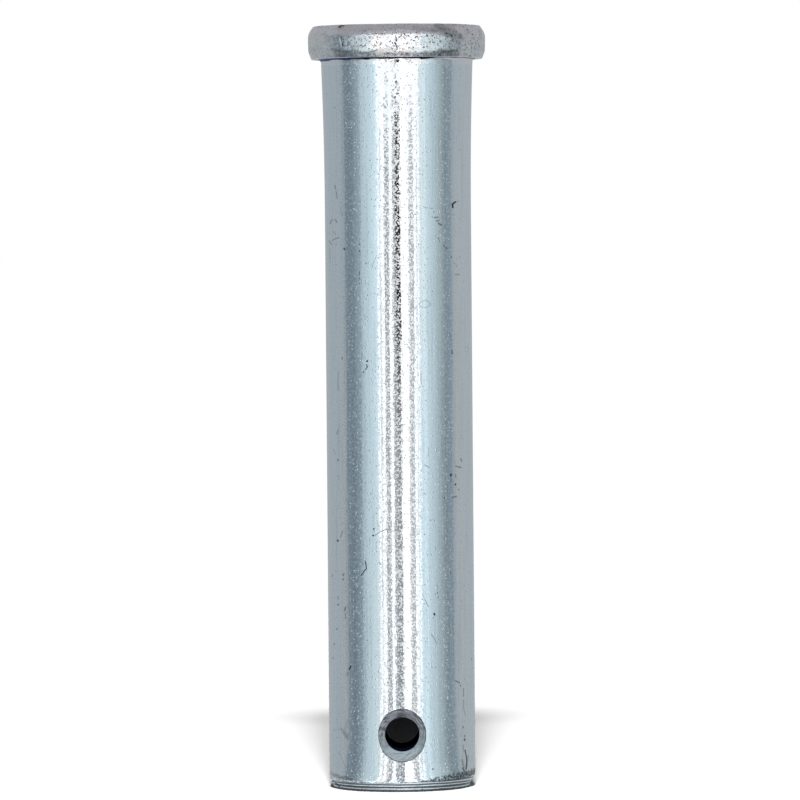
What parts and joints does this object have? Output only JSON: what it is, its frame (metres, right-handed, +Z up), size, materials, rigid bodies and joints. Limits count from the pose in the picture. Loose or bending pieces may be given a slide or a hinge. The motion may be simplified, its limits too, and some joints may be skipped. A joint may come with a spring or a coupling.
{
  "type": "lift fork pin",
  "caption": "Headed steel pin for a lift fork: a low round head on a parallel shank, with a bevelled tip and a countersunk cross hole for a split pin.",
  "frame": {"origin": "centre of the tip face, on the pin's axis, where the standing pin meets the surface", "axes": "+Z up along the pin's axis from tip to head, +Y along the cross hole, +X completes the right-handed frame"},
  "size_m": [0.027, 0.027, 0.1156],
  "materials": {
    "zinc_plated_steel": "bright zinc plate over drawn steel, fine orange peel, light handling marks"
  },
  "bodies": {
    "root": {"fork_pin": "zinc_plated_steel"}
  },
  "joints": []
}
